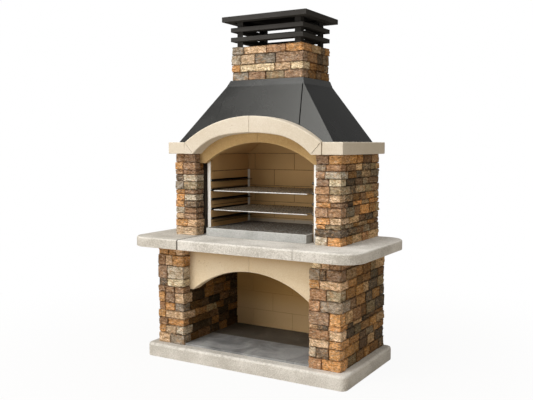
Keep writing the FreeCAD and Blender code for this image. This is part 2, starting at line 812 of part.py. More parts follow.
def make_cap():
    half = chimney_half + slat_side_overhang
    y0 = chimney_front - slat_front_overhang
    y1 = chimney_back
    low = chimney_top + slat_gap
    high = low + slat_height + slat_gap
    under = high + slat_height + slat_gap
    top = under + cap_rim
    save("cap_slats_lower", ring(half, y0, y1, slat_width, low, low + slat_height))
    save("cap_slats_upper", ring(half, y0, y1, slat_width, high, high + slat_height))
    x = half - slat_width
    ya = y0 + slat_width
    yb = y1 - slat_width
    t = cap_post_sheet
    leg = cap_post_leg
    angle = [(x, ya), (x, ya + leg), (x - t, ya + leg), (x - t, ya + t), (x - leg, ya + t), (x - leg, ya)]
    post = plan_prism(angle, chimney_top, top - cap_sheet)
    middle = (ya + yb) / 2
    behind = post.mirror(Vector(0, middle, 0), Vector(0, 1, 0))
    save("cap_posts", Part.makeCompound([post, mirrored(post), behind, mirrored(behind)]))
    s = cap_sheet
    f = cap_flange
    plate = box(-cap_half, cap_front, under, cap_half, cap_back, top)
    plate = plate.cut(box(-cap_half + s, cap_front + s, under + s, cap_half - s, cap_back - s, top - s))
    mouth = box(-cap_half + f, cap_front + f, under - cut_past, cap_half - f, cap_back - f, under + 2 * s)
    plate = plate.cut(mouth)
    save("cap_plate", plate)


os.makedirs("parts", exist_ok=True)
make_base()
make_lower_piers()
make_lower_wall()
make_lintel()
make_worktop()
make_hearth()
make_upper_piers()
make_front_arch()
make_capitals()
make_inner_arch()
make_lining()
make_grill_holder()
make_grill("grill_upper", grill_upper_level)
make_grill("grill_lower", grill_lower_level)
make_hood()
make_chimney()
make_cap()
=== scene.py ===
import math
import random

import bmesh
import bpy
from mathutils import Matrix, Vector


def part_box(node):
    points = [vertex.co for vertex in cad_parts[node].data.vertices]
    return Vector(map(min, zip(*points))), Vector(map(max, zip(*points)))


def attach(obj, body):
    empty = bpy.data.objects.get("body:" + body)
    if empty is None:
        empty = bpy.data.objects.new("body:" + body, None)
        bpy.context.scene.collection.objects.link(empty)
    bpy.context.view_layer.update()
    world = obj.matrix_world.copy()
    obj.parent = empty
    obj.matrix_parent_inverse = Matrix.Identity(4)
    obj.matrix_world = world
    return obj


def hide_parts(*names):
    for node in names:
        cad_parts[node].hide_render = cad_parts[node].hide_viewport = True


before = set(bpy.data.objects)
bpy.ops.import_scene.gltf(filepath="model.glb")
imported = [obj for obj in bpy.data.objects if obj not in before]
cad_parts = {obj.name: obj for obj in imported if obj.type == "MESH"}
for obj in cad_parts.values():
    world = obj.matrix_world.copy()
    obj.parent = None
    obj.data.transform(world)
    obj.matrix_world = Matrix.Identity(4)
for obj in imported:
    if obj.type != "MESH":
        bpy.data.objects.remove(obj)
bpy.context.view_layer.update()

# A masonry barbecue in metres: +Z is up, -Y is the front and X = 0 is the middle.
MM = 0.001
SIDES = ("left", "right")

# Camera of the photographed view
CAMERA_PLACE = (2.404, -4.102, 1.449)
CAMERA_TURN = (85.52, 0.0, 30.5)
CAMERA_LENS = 47.87
CAMERA_SENSOR = 36.0

# Modelling, with angles in degrees
SHARP_EDGE = 25.0
SMOOTH_ANGLE = 35.0
MERGE_DISTANCE = 1e-5
FLAT_ANGLE = 0.4
SHORTEST_BLOCK = 40 * MM

# Facing stones: rounding of a face's edges, cuts across the face, how rough it is split, how far any corner
# strays, how far whole faces step in or out, and the angle up to which the shading is smooth
STONE_ARRIS = 4.0 * MM
STONE_CUTS = 4
STONE_ROUGHNESS = 3.6 * MM
STONE_JITTER = 1.0 * MM
STONE_STEPS = (-1.0 * MM, 1.5 * MM, 3.0 * MM)
STONE_ANGLE = 24.0

# Stone kinds by name, as a mason would sort the pallet
STONE_KINDS = {
    "umber": "95775f",
    "rust": "c3915c",
    "ochre": "b98a54",
    "brick": "a07b5c",
    "ash": "918678",
    "coal": "695b4d",
    "sand": "cfb08e",
    "cream": "e2d0ae",
    "olive": "97876c",
    "bone": "c2b6a2",
}

# Shares of the kinds on each face of a pier, with the range of their brightness and their tint; the side and
# inner ranges, lower than the front's, and their warm tints are painted shade
STONE_FACES = {
    "front": ({"umber": 4, "coal": 3, "brick": 5, "sand": 4, "rust": 5, "olive": 2, "ash": 3, "cream": 1,
               "bone": 2}, (0.98, 1.28), (1.0, 1.0, 1.0)),
    "side": ({"umber": 2, "olive": 1, "coal": 3, "ash": 1, "rust": 2, "ochre": 2, "brick": 1, "sand": 2},
             (0.46, 1.56), (1.05, 0.99, 0.82)),
    "inner": ({"ochre": 2, "rust": 1, "umber": 1, "coal": 3}, (0.12, 0.70), (1.05, 0.96, 0.70)),
}

# Veils of colour in a split face: pattern, where it starts, where it is full, share and shade
STONE_VEILS = (
    ("Patches", 0.52, 0.60, 0.55, "b48d66"),
    ("Veins", 0.52, 0.60, 0.50, "8c8378"),
    ("Mottle", 0.54, 0.66, 0.35, "d8bf9a"),
    ("Mottle", 0.46, 0.36, 0.55, "5b4024"),
)

# Grain of the cast and sawn materials
CONCRETE = {"cloud_scale": 4.0, "sand_scale": 300.0, "pore_scale": 95.0, "pore_share": 0.36,
            "roughness": 0.88, "depth": 1.8 * MM, "contrast": 0.09}
SAWN_STONE = {"cloud_scale": 3.0, "sand_scale": 240.0, "pore_scale": 60.0, "depth": 1.0 * MM}
BRICK = {"cloud_scale": 2.6, "sand_scale": 260.0, "pore_scale": 70.0, "pore_share": 0.12,
         "roughness": 0.90, "depth": 0.8 * MM, "contrast": 0.45, "least_edge_mark": 0.6}
BLOCKWORK = {"cloud_scale": 3.5, "sand_scale": 180.0, "pore_scale": 60.0, "pore_share": 0.35,
             "depth": 2.0 * MM}


def hex_colour(text):
    """Turns a written colour, such as c07a3e, into the linear colour that a shader takes."""
    channels = []
    for k in (0, 2, 4):
        value = int(text[k:k + 2], 16) / 255.0
        channels.append(value / 12.92 if value <= 0.04045 else ((value + 0.055) / 1.055) ** 2.4)
    return (channels[0], channels[1], channels[2], 1.0)


# Hand tools

def drop_selection():
    bpy.ops.object.select_all(action="DESELECT")


def take(piece):
    """Makes one object the only selected and active one."""
    drop_selection()
    piece.select_set(True)
    bpy.context.view_layer.objects.active = piece


def settle():
    """Puts an object's place, turn and scale into its mesh."""
    bpy.ops.object.transform_apply(location=True, rotation=True, scale=True)


def open_mesh(piece, select="EDGE"):
    take(piece)
    bpy.ops.object.mode_set(mode="EDIT")
    bpy.ops.mesh.select_mode(type=select)


def close_mesh():
    bpy.ops.object.mode_set(mode="OBJECT")


def pick_all():
    bpy.ops.mesh.select_all(action="SELECT")


def pick_none():
    bpy.ops.mesh.select_all(action="DESELECT")


def is_upright(direction):
    return abs(direction.z) > 0.9


def is_level(direction):
    return abs(direction.z) < 0.1


def pick_edges(piece, accept):
    """Selects the edges that accept(middle, direction) takes, and nothing else."""
    pick_none()
    mesh = bmesh.from_edit_mesh(piece.data)
    for edge in mesh.edges:
        a, b = edge.verts[0].co, edge.verts[1].co
        if accept((a + b) / 2, (b - a).normalized()):
            edge.select_set(True)
    bmesh.update_edit_mesh(piece.data)


def pick_faces(piece, accept):
    """Selects the faces that accept(middle, normal, area) takes, and nothing else."""
    mesh = bmesh.from_edit_mesh(piece.data)
    mesh.normal_update()
    chosen = [f for f in mesh.faces if accept(f.calc_center_median(), f.normal, f.calc_area())]
    for face in mesh.faces:
        face.select_set(False)
    for face in chosen:
        face.select_set(True)
    bmesh.update_edit_mesh(piece.data)


def mark_faces(piece, label, width=math.inf):
    """Remembers the selected faces narrower than width, so that a finish can wear or darken them."""
    mesh = bmesh.from_edit_mesh(piece.data)
    layer = mesh.faces.layers.float.get(label) or mesh.faces.layers.float.new(label)
    for face in mesh.faces:
        if face.select and 2 * face.calc_area() < width * face.calc_perimeter():
            face[layer] = 1.0
    bmesh.update_edit_mesh(piece.data)


def bevel(radius, segments):
    bpy.ops.mesh.bevel(offset=radius, offset_type="OFFSET", segments=segments, profile=0.5, affect="EDGES")


def round_edges(piece, radius, segments):
    bevel(radius, segments)
    mark_faces(piece, "worn_and_shaded_edge", 2 * radius)


def round_sharp_edges(piece, radius, degrees=SHARP_EDGE):
    pick_none()
    bpy.ops.mesh.edges_select_sharp(sharpness=math.radians(degrees))
    round_edges(piece, radius, 2)


def smooth(piece, degrees=SMOOTH_ANGLE):
    """Smooth shading on the roundings, with the flat faces kept flat."""
    take(piece)
    bpy.ops.object.shade_smooth_by_angle(angle=math.radians(degrees))
    bpy.ops.object.modifier_add(type="WEIGHTED_NORMAL")
    piece.modifiers[-1].keep_sharp = True
    bpy.ops.object.modifier_apply(modifier=piece.modifiers[-1].name)


def block(name, low, high):
    """A cube between two corners, with its place in its mesh."""
    drop_selection()
    low, high = Vector(low), Vector(high)
    bpy.ops.mesh.primitive_cube_add(size=1.0, location=(low + high) / 2)
    piece = bpy.context.object
    piece.name = name
    piece.scale = high - low
    settle()
    return piece


def join(pieces, name):
    drop_selection()
    for piece in pieces:
        piece.select_set(True)
    bpy.context.view_layer.objects.active = pieces[0]
    bpy.ops.object.join()
    pieces[0].name = name
    return pieces[0]


def copy_node(node):
    """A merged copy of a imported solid, with flat faces whole again."""
    piece = bpy.data.objects.new(node + "_piece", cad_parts[node].data.copy())
    bpy.context.scene.collection.objects.link(piece)
    take(piece)
    bpy.ops.mesh.customdata_custom_splitnormals_clear()
    open_mesh(piece)
    pick_all()
    bpy.ops.mesh.remove_doubles(threshold=MERGE_DISTANCE)
    bpy.ops.mesh.dissolve_limited(angle_limit=math.radians(FLAT_ANGLE))
    close_mesh()
    return piece


def finish_piece(piece, nodes, body, material):
    piece.data.materials.clear()
    piece.data.materials.append(material)
    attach(piece, body)
    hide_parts(*nodes)


def complete(piece, node, material):
    """Ends the modelling of a fixed piece and gives it its shading, body and finish."""
    close_mesh()
    smooth(piece)
    finish_piece(piece, [node], "masonry", material)


def dress(node, material, radius):
    """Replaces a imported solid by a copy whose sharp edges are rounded."""
    piece = copy_node(node)
    open_mesh(piece)
    round_sharp_edges(piece, radius)
    complete(piece, node, material)


# Shader nodes

def put(tree, kind, values=None, **settings):
    """Adds a node; each value is a constant or another node's output."""
    node = tree.nodes.new(kind)
    for key, value in settings.items():
        setattr(node, key, value)
    for key, value in (values or {}).items():
        if isinstance(value, bpy.types.NodeSocket):
            tree.links.new(value, node.inputs[key])
        else:
            node.inputs[key].default_value = value
    return node


def calc(tree, operation, a, b=0.0, c=0.0):
    return put(tree, "ShaderNodeMath", {0: a, 1: b, 2: c}, operation=operation).outputs[0]


def times(tree, a, b):
    return calc(tree, "MULTIPLY", a, b)


def weighted(tree, *terms):
    """Adds up (value, weight) pairs."""
    total = times(tree, *terms[0])
    for value, weight in terms[1:]:
        total = calc(tree, "ADD", total, times(tree, value, weight))
    return total


def span(tree, value, low, high, out_low=0.0, out_high=1.0):
    """Maps value from low..high to out_low..out_high, smoothly and clamped."""
    values = {0: value, 1: low, 2: high, 3: out_low, 4: out_high}
    return put(tree, "ShaderNodeMapRange", values, interpolation_type="SMOOTHSTEP").outputs[0]


def mix(tree, factor, a, b, blend="MIX"):
    values = {0: factor, 6: a, 7: b}
    return put(tree, "ShaderNodeMix", values, data_type="RGBA", blend_type=blend).outputs[2]


def blend_shades(tree, factor, first, second):
    return mix(tree, factor, hex_colour(first), hex_colour(second))


def veil(tree, colour, mask, share, shade):
    """Lays a shade over a colour where the mask is, up to a share."""
    return mix(tree, times(tree, mask, share), colour, hex_colour(shade))


def noise(tree, place, scale, detail=3.0, rough=0.5, distortion=0.0):
    values = {"Vector": place, "Scale": scale, "Detail": detail, "Roughness": rough, "Distortion": distortion}
    return put(tree, "ShaderNodeTexNoise", values).outputs[0]


def cells(tree, place, scale, feature="F1"):
    """Distances in a pattern of irregular cells."""
    values = {"Vector": place, "Scale": scale}
    return put(tree, "ShaderNodeTexVoronoi", values, feature=feature).outputs["Distance"]


def stretched(tree, place, scale):
    return put(tree, "ShaderNodeMapping", {"Vector": place, "Scale": scale}).outputs[0]


def along_axis(tree, vector, axis):
    return put(tree, "ShaderNodeSeparateXYZ", {0: vector}).outputs[axis]


def marked(tree, label, output="Fac"):
    """What the modelling left on the mesh under a label."""
    return put(tree, "ShaderNodeAttribute", attribute_name=label).outputs[output]


def object_place(tree):
    return put(tree, "ShaderNodeTexCoord").outputs["Object"]


def new_group(name, takes, gives):
    """A shader group; takes lists (name, kind, default), and gives names the values that come out."""
    group = bpy.data.node_groups.new(name, "ShaderNodeTree")
    for label, kind, default in takes:
        socket = group.interface.new_socket(name=label, in_out="INPUT", socket_type="NodeSocket" + kind)
        if default is not None:
            socket.default_value = default
    for label in gives:
        group.interface.new_socket(name=label, in_out="OUTPUT", socket_type="NodeSocketFloat")
    inputs = group.nodes.new("NodeGroupInput")
    outputs = group.nodes.new("NodeGroupOutput")
    return group, inputs.outputs, outputs.inputs


def use_group(tree, group, values):
    return put(tree, "ShaderNodeGroup", values, node_tree=group).outputs


def make_cast_grain():
    """Fine sandy grain of cast or sawn stone: tone, pores and height."""
    takes = [("Place", "Vector", None), ("Cloud Scale", "Float", 3.0), ("Sand Scale", "Float", 260.0),
             ("Pore Scale", "Float", 70.0), ("Pore Share", "Float", 0.2)]
    group, given, out = new_group("cast_grain", takes, ("Tone", "Pores", "Height"))
    place, sand_scale, pore_scale = given["Place"], given["Sand Scale"], given["Pore Scale"]
    cloud = noise(group, place, given["Cloud Scale"], detail=4.0, rough=0.6)
    fine = noise(group, place, sand_scale, detail=2.0, rough=0.6)
    grit = noise(group, place, times(group, sand_scale, 0.42), detail=2.0, rough=0.6)
    sand = weighted(group, (fine, 0.5), (grit, 0.5))
    gate = noise(group, place, times(group, pore_scale, 0.31), detail=2.0)
    gate = span(group, gate, calc(group, "SUBTRACT", 0.78, given["Pore Share"]), 0.80)
    pit = times(group, span(group, cells(group, place, pore_scale), 0.34, 0.12), gate)
    group.links.new(weighted(group, (cloud, 0.4), (sand, 0.6)), out["Tone"])
    group.links.new(pit, out["Pores"])
    group.links.new(weighted(group, (sand, 0.5), (pit, -0.8)), out["Height"])
    return group


def make_worn_and_shaded_edges():
    """Edges that a bevel made, and faces marked for painted shade, broken up by noise."""
    takes = [("Place", "Vector", None), ("Scale", "Float", 45.0), ("Least", "Float", 0.0)]
    group, given, out = new_group("worn_and_shaded_edges", takes, ("Mask",))
    spots = noise(group, given["Place"], given["Scale"], rough=0.6)
    spots = span(group, spots, 0.3, 0.7, given["Least"], 1.0)
    group.links.new(times(group, marked(group, "worn_and_shaded_edge"), spots), out["Mask"])
    return group


def make_strata():
    """Split stone: beds along the stone, cloudy patches, chiselled facets and a crystalline grain."""
    takes = [("Place", "Vector", None), ("Bed Scale", "Float", 30.0), ("Grain Scale", "Float", 190.0)]
    gives = ("Beds", "Patches", "Veins", "Mottle", "Grain", "Specks", "Height")
    group, given, out = new_group("strata", takes, gives)
    place, scale = given["Place"], given["Bed Scale"]
    flat = stretched(group, place, (1.0, 1.0, 2.6))
    beds = noise(group, flat, scale, detail=8.0, rough=0.68, distortion=0.4)
    patches = noise(group, place, times(group, scale, 1.3), detail=5.0, rough=0.62, distortion=0.3)
    mottle = noise(group, flat, times(group, scale, 2.0), detail=4.0, rough=0.66, distortion=0.2)
    veins = noise(group, flat, times(group, scale, 1.5), detail=5.0, rough=0.62)
    grain = noise(group, place, given["Grain Scale"], rough=0.7)
    lean = {0: flat, 1: (0.02, 0.02, 0.02), 2: place}
    bent = put(group, "ShaderNodeVectorMath", lean, operation="MULTIPLY_ADD").outputs[0]
    chips = cells(group, bent, times(group, scale, 1.6))
    flecks = span(group, cells(group, place, 230.0), 0.42, 0.22)
    specks = times(group, flecks, span(group, veins, 0.5, 0.62))
    height = weighted(group, (beds, 0.50), (chips, 0.20), (mottle, 0.35), (grain, 0.28))
    for label, value in zip(gives, (beds, patches, veins, mottle, grain, specks, height)):
        group.links.new(value, out[label])
    return group


CAST_GRAIN = make_cast_grain()
WORN_AND_SHADED_EDGES = make_worn_and_shaded_edges()
STRATA = make_strata()


# Finishes

def new_finish(name):
    material = bpy.data.materials.new(name)
    material.use_nodes = True
    tree = material.node_tree
    tree.nodes.clear()
    return material, tree, object_place(tree)


def close_finish(tree, colour, roughness, height, depth, strength=0.6, **sockets):
    """The shader itself, with a bump of some depth; sockets names plain values of the Principled BSDF."""
    bump = put(tree, "ShaderNodeBump", {"Strength": strength, "Distance": depth, "Height": height})
    values = {"Base Color": colour, "Roughness": roughness, "Normal": bump.outputs[0]}
    for key, value in sockets.items():
        values[key.replace("_", " ")] = value
    shader = put(tree, "ShaderNodeBsdfPrincipled", values)
    put(tree, "ShaderNodeOutputMaterial", {"Surface": shader.outputs[0]})


def cast_finish(name, light, dark, pore, edge, cloud_scale, sand_scale, pore_scale, pore_share, roughness,
                depth, contrast=0.14, least_edge_mark=0.0, stain_and_shade=None):
    """Cast concrete, sawn cream stone and firebrick differ in colours, grain and pores.

    A band of colour, a stain in one finish and painted shade in the others, is (shade, level where it starts,
    level where it is full, furthest back that it reaches).
    """
    material, tree, place = new_finish(name)
    grain = use_group(tree, CAST_GRAIN, {"Place": place, "Cloud Scale": cloud_scale, "Sand Scale": sand_scale,
                                         "Pore Scale": pore_scale, "Pore Share": pore_share})
    worn_and_shaded = use_group(tree, WORN_AND_SHADED_EDGES, {"Place": place, "Least": least_edge_mark})
    tone = span(tree, grain["Tone"], 0.5 - contrast, 0.5 + contrast)
    colour = blend_shades(tree, tone, dark, light)
    colour = veil(tree, colour, grain["Pores"], 0.75, pore)
    colour = veil(tree, colour, worn_and_shaded["Mask"], 0.70, edge)
    # Painted shade: marked joint faces are darkened as the shade inside a joint
    colour = veil(tree, colour, marked(tree, "joint"), 0.85, "3f3a33")
    if stain_and_shade:
        shade, start, full, back = stain_and_shade
        uneven = 60 * MM
        level = calc(tree, "SUBTRACT", along_axis(tree, place, 2), uneven / 2)
        level = calc(tree, "MULTIPLY_ADD", grain["Tone"], uneven, level)
        in_reach = calc(tree, "LESS_THAN", along_axis(tree, place, 1), back)
        colour = veil(tree, colour, times(tree, span(tree, level, start, full), in_reach), 0.8, shade)
    rough = span(tree, grain["Tone"], 0.2, 0.8, roughness - 0.06, roughness + 0.06)
    close_finish(tree, colour, rough, grain["Height"], depth, Specular_IOR_Level=0.25)
    return material


def make_split_stone():
    """Each stone's own colour, with veils, tones and a tint, which on side and inner faces holds painted
    shade; its seed moves the pattern.
    """
    material, tree, place = new_finish("split_stone")
    seed = marked(tree, "stone_seed")
    shift = {0: seed, 1: times(tree, seed, 3.1), 2: times(tree, seed, 7.7)}
    shift = put(tree, "ShaderNodeCombineXYZ", shift).outputs[0]
    moved = put(tree, "ShaderNodeVectorMath", {0: place, 1: shift}, operation="ADD").outputs[0]
    strata = use_group(tree, STRATA, {"Place": moved})
    worn_and_shaded = use_group(tree, WORN_AND_SHADED_EDGES, {"Place": moved, "Scale": 60.0})
    colour = marked(tree, "stone_colour", "Color")
    for pattern, start, full, share, shade in STONE_VEILS:
        colour = veil(tree, colour, span(tree, strata[pattern], start, full), share, shade)
    tone = span(tree, strata["Beds"], 0.32, 0.68, 0.60, 1.34)
    tone = times(tree, tone, span(tree, strata["Grain"], 0.28, 0.72, 0.62, 1.40))
    tones = {0: tone, 1: calc(tree, "POWER", tone, 1.15), 2: calc(tree, "POWER", tone, 1.45)}
    tones = put(tree, "ShaderNodeCombineColor", tones).outputs[0]
    colour = mix(tree, 1.0, colour, tones, "MULTIPLY")
    colour = veil(tree, colour, strata["Specks"], 0.35, "d9c7a8")
    colour = veil(tree, colour, worn_and_shaded["Mask"], 0.12, "4a3520")
    colour = mix(tree, 1.0, colour, marked(tree, "stone_tone_and_shade", "Color"), "MULTIPLY")
    rough = span(tree, strata["Grain"], 0.2, 0.8, 0.80, 0.95)
    close_finish(tree, colour, rough, strata["Height"], 9 * MM, 0.9, Specular_IOR_Level=0.2)
    return material


def make_slate(name, dark, light, vein_shade, fleck):
    """Cloudy slate with thin veins and fine flecks."""
    material, tree, place = new_finish(name)
    cloud = noise(tree, place, 5.0, detail=6.0, rough=0.62, distortion=0.8)
    fine = noise(tree, place, 120.0, rough=0.6)
    bend = {0: place, 1: noise(tree, place, 3.0)}
    bent = put(tree, "ShaderNodeVectorMath", bend, operation="ADD").outputs[0]
    vein = span(tree, cells(tree, bent, 2.4, "DISTANCE_TO_EDGE"), 0.020, 0.004)
    vein = times(tree, vein, span(tree, cloud, 0.45, 0.65))
    colour = blend_shades(tree, span(tree, cloud, 0.3, 0.72), dark, light)
    colour = veil(tree, colour, vein, 0.35, vein_shade)
    colour = veil(tree, colour, span(tree, fine, 0.45, 0.75), 0.25, fleck)
    rough = span(tree, cloud, 0.3, 0.7, 0.55, 0.72)
    height = weighted(tree, (cloud, 0.7), (fine, 0.2))
    close_finish(tree, colour, rough, height, 2 * MM, 0.5, Specular_IOR_Level=0.35)
    return material


def make_hearth_stone():
    """Brushed grey stone, darker on top, with dark mottles and light flecks there."""
    material, tree, place = new_finish("hearth_stone")
    grain = use_group(tree, CAST_GRAIN, {"Place": place, "Cloud Scale": 6.0, "Sand Scale": 240.0,
                                         "Pore Scale": 90.0, "Pore Share": 0.25})
    worn_and_shaded = use_group(tree, WORN_AND_SHADED_EDGES, {"Place": place, "Least": 0.5})
    brushed = noise(tree, stretched(tree, place, (1.0, 1.0, 9.0)), 34.0, detail=4.0, rough=0.6)
    colour = blend_shades(tree, span(tree, grain["Tone"], 0.3, 0.7), "9fa09e", "c8c9c7")
    colour = veil(tree, colour, span(tree, brushed, 0.45, 0.75), 0.35, "74736f")
    colour = veil(tree, colour, grain["Pores"], 0.6, "55534f")
    top_mask = marked(tree, "dark_top")
    top_mottle = noise(tree, place, 75.0, detail=5.0, rough=0.72)
    colour = veil(tree, colour, span(tree, top_mottle, 0.62, 0.50, 0.45, 0.97), top_mask, "4a4339")
    top_flecks = noise(tree, place, 130.0, rough=0.7)
    colour = veil(tree, colour, span(tree, top_flecks, 0.56, 0.66, 0.0, 0.5), top_mask, "a8a296")
    colour = veil(tree, colour, worn_and_shaded["Mask"], 0.6, "d2d2cf")
    close_finish(tree, colour, 0.85, grain["Height"], 1.2 * MM, Specular_IOR_Level=0.2)
    return material


def painted_finish(name, light, dark, dust, roughness, metallic, ash=None):
    """Powder-coated sheet: a faint orange-peel skin with a little dust, marked grooves painted near black as
    shade, and perhaps ash on its ledges, which also paints light on their tops.
    """
    material, tree, place = new_finish(name)
    cloud = noise(tree, place, 2.2, detail=4.0, rough=0.6)
    peel = noise(tree, place, 420.0, detail=2.0)
    specks = noise(tree, place, 60.0, detail=4.0, rough=0.7)
    worn_and_shaded = use_group(tree, WORN_AND_SHADED_EDGES, {"Place": place, "Scale": 30.0})
    colour = blend_shades(tree, span(tree, cloud, 0.3, 0.7), dark, light)
    colour = veil(tree, colour, span(tree, specks, 0.55, 0.8), 0.12, dust)
    colour = veil(tree, colour, worn_and_shaded["Mask"], 0.35, dust)
    # Painted shade: the faces of a marked groove are painted near black, as the shade inside the seam
    colour = veil(tree, colour, marked(tree, "groove"), 1.0, "0a0a0a")
    # Dust on upward faces, lighter than the paint, which also paints the light falling on the tops of the
    # rails' shelves
    if ash:
        facing = put(tree, "ShaderNodeNewGeometry").outputs["True Normal"]
        colour = veil(tree, colour, span(tree, along_axis(tree, facing, 2), 0.6, 0.95), 0.75, ash)
    rough = span(tree, cloud, 0.25, 0.75, roughness - 0.05, roughness + 0.05)
    close_finish(tree, colour, rough, peel, 0.15 * MM, 0.35, Specular_IOR_Level=0.0, Metallic=metallic,
                 Specular_Tint=(0.5, 0.5, 0.5, 1.0))
    return material


def metal_finish(name, light, dark, roughness, along, metallic):
    """Drawn or rolled steel: fine lines along the metal and a few dull spots."""
    material, tree, place = new_finish(name)
    scratch = 0.08
    lines = noise(tree, stretched(tree, place, along), 60.0, detail=4.0, rough=0.6)
    spots = noise(tree, place, 28.0, detail=4.0, rough=0.6)
    colour = blend_shades(tree, span(tree, lines, 0.3, 0.7), dark, light)
    colour = veil(tree, colour, span(tree, spots, 0.55, 0.8), 0.3, dark)
    rough = span(tree, lines, 0.2, 0.8, roughness - scratch, roughness + scratch)
    close_finish(tree, colour, rough, lines, 0.1 * MM, 0.3, Metallic=metallic)
    return material


def make_grill_chrome():
    """Chromed bars: a clean handle bar and smoke-tinted wires, with painted shade that darkens them at the
    back and at their front tips.
    """
    material, tree, place = new_finish("grill_chrome")
    back = along_axis(tree, place, 1)
    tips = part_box("grill_upper")[0].y + 5 * MM
    shade_start, shade_full = 270 * MM, 360 * MM
    spots = noise(tree, place, 35.0, detail=4.0, rough=0.6)
    clean = blend_shades(tree, span(tree, spots, 0.35, 0.7), "c2c1be", "aaa9a5")
    # Painted shade: the wires darken towards the back, as the shade between the grill and the back wall
    smoke_and_shade = blend_shades(tree, span(tree, back, shade_start, shade_full), "b2ada4", "38342f")
    smoke_and_shade = veil(tree, smoke_and_shade, span(tree, spots, 0.45, 0.65), 0.6, "5d5952")
    # Painted shade: the front tips of the wires are darkened, where their ends would catch the light
    smoke_and_shade = veil(tree, smoke_and_shade, span(tree, back, tips + 1 * MM, tips), 1.0, "2b2925")
    colour = mix(tree, marked(tree, "smoked_and_shaded"), clean, smoke_and_shade)
    rough = span(tree, spots, 0.3, 0.7, 0.24, 0.40)
    close_finish(tree, colour, rough, spots, 0.1 * MM, 0.3, Metallic=0.45)
    return material


def front_of(node, depth):
    """How far back a band of colour reaches that stays within some depth of a node's front."""
    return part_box(node)[0].y + depth


# Bands of colour, the ash line a stain and the others painted shade: shade, level where one starts, level
# where it is full, and how far back it reaches
# Painted shade: the lintel turns darker and warmer towards its top, where the worktop's overhang shades it
LINTEL_PAINTED_SHADE = ("9c7338", 625 * MM, 780 * MM, front_of("lower_arch_left", 10 * MM))
ASH_LINE = ("a8a398", 916 * MM, 898 * MM, front_of("lining_back", 10 * MM))
# Painted shade: the wood store's back wall darkens towards its top, where the worktop and lintel shade it
STORE_PAINTED_SHADE = ("b98d4c", 215 * MM, 400 * MM, front_of("lower_back_wall", 10 * MM))
# Painted shade: the upper cores are painted near black from their front to 40 mm behind the linings' fronts,
# as the dark slot beside each lining; its levels darken the whole height
CORE_PAINTED_SHADE = ("0d0b09", -400 * MM, -200 * MM, front_of("lining_left", 40 * MM))

CAST_CONCRETE = cast_finish("cast_concrete", "dedbd5", "b4b0a8", "8e897f", "e5e2dc", **CONCRETE)
GREY_CONCRETE = cast_finish("grey_concrete", "d0ccc4", "a8a399", "857f75", "dad6ce", **CONCRETE)
CREAM_STONE = cast_finish("cream_stone", "ded5c7", "cabea9", "a58f6d", "e6ddcd", pore_share=0.20,
                          roughness=0.85, contrast=0.18, **SAWN_STONE)
# Painted light: the lintel is a lighter copy of the cream stone, to offset the worktop's shade on its lower
# part
LINTEL_STONE = cast_finish("lintel_stone", "f4e5cb", "e4d0ae", "a98d62", "f6ead4", pore_share=0.26,
                           roughness=0.85, stain_and_shade=LINTEL_PAINTED_SHADE, **SAWN_STONE)
# Painted shade: the inner arch is a darker, warmer copy of the cream stone, for the arch set back in the
# shade of the front arch
INNER_STONE = cast_finish("inner_stone", "c6a97a", "b49463", "8a6c44", "d0b688", pore_share=0.16,
                          roughness=0.87, **SAWN_STONE)
# The firebrick's near-black edge colour darkens its block edges and paints shade on the linings' front faces
FIREBRICK = cast_finish("firebrick", "c9a777", "ba9564", "8b6d44", "2e2110", **BRICK)
FIREBACK = cast_finish("fireback", "cba979", "bc9766", "8b6d44", "5a4728", stain_and_shade=ASH_LINE, **BRICK)
STORE_WALL = cast_finish("store_wall", "d9b98b", "caa777", "957750", "bd9e70", stain_and_shade=STORE_PAINTED_SHADE, **BRICK)
BLOCK_CORE = cast_finish("block_core", "8d8377", "6b6158", "4d453d", "989084", roughness=0.93, **BLOCKWORK)
# The upper cores carry that painted shade
SHADED_CORE = cast_finish("shaded_core", "8d8377", "6b6158", "4d453d", "989084", roughness=0.93, stain_and_shade=CORE_PAINTED_SHADE,
                         **BLOCKWORK)
MORTAR = cast_finish("mortar", "6c543c", "523e2b", "3b2b1d", "6c543c", roughness=0.95, **BLOCKWORK)
SPLIT_STONE = make_split_stone()
FLOOR_SLATE = make_slate("floor_slate", "6c6d6e", "a2a3a3", "c4c4c2", "585858")
REAR_SLATE = make_slate("rear_slate", "4a453d", "69635a", "8b867d", "38342e")
HEARTH_STONE = make_hearth_stone()
ANTHRACITE = painted_finish("anthracite_sheet", "343433", "2f2f2e", "484848", roughness=0.26, metallic=0.8)
DARK_STEEL = painted_finish("dark_steel", "454443", "3c3b3a", "565553", roughness=0.55, metallic=0.0)
# Painted light: the collar is a lighter copy of the anthracite sheet, so that its upright front matches the
# lit hood front
COLLAR = painted_finish("collar_sheet", "494948", "444443", "585858", roughness=0.26, metallic=0.8)
# The rails' shelf tops carry dust that also stands in for the light on them
RAIL_STEEL = painted_finish("rail_steel", "2a2724", "221f1c", "3a3733", roughness=0.55, metallic=0.0,
                            ash="77634a")
BOLT_STEEL = metal_finish("bolt_steel", "7d7b75", "5f5d58", roughness=0.45, along=(3.0, 3.0, 3.0),
                          metallic=0.3)
BRIGHT_STEEL = metal_finish("bright_steel", "f8f7f4", "e9e8e4", roughness=0.36, along=(6.0, 6.0, 0.6),
                            metallic=0.1)
GRILL_CHROME = make_grill_chrome()


# Cast slabs

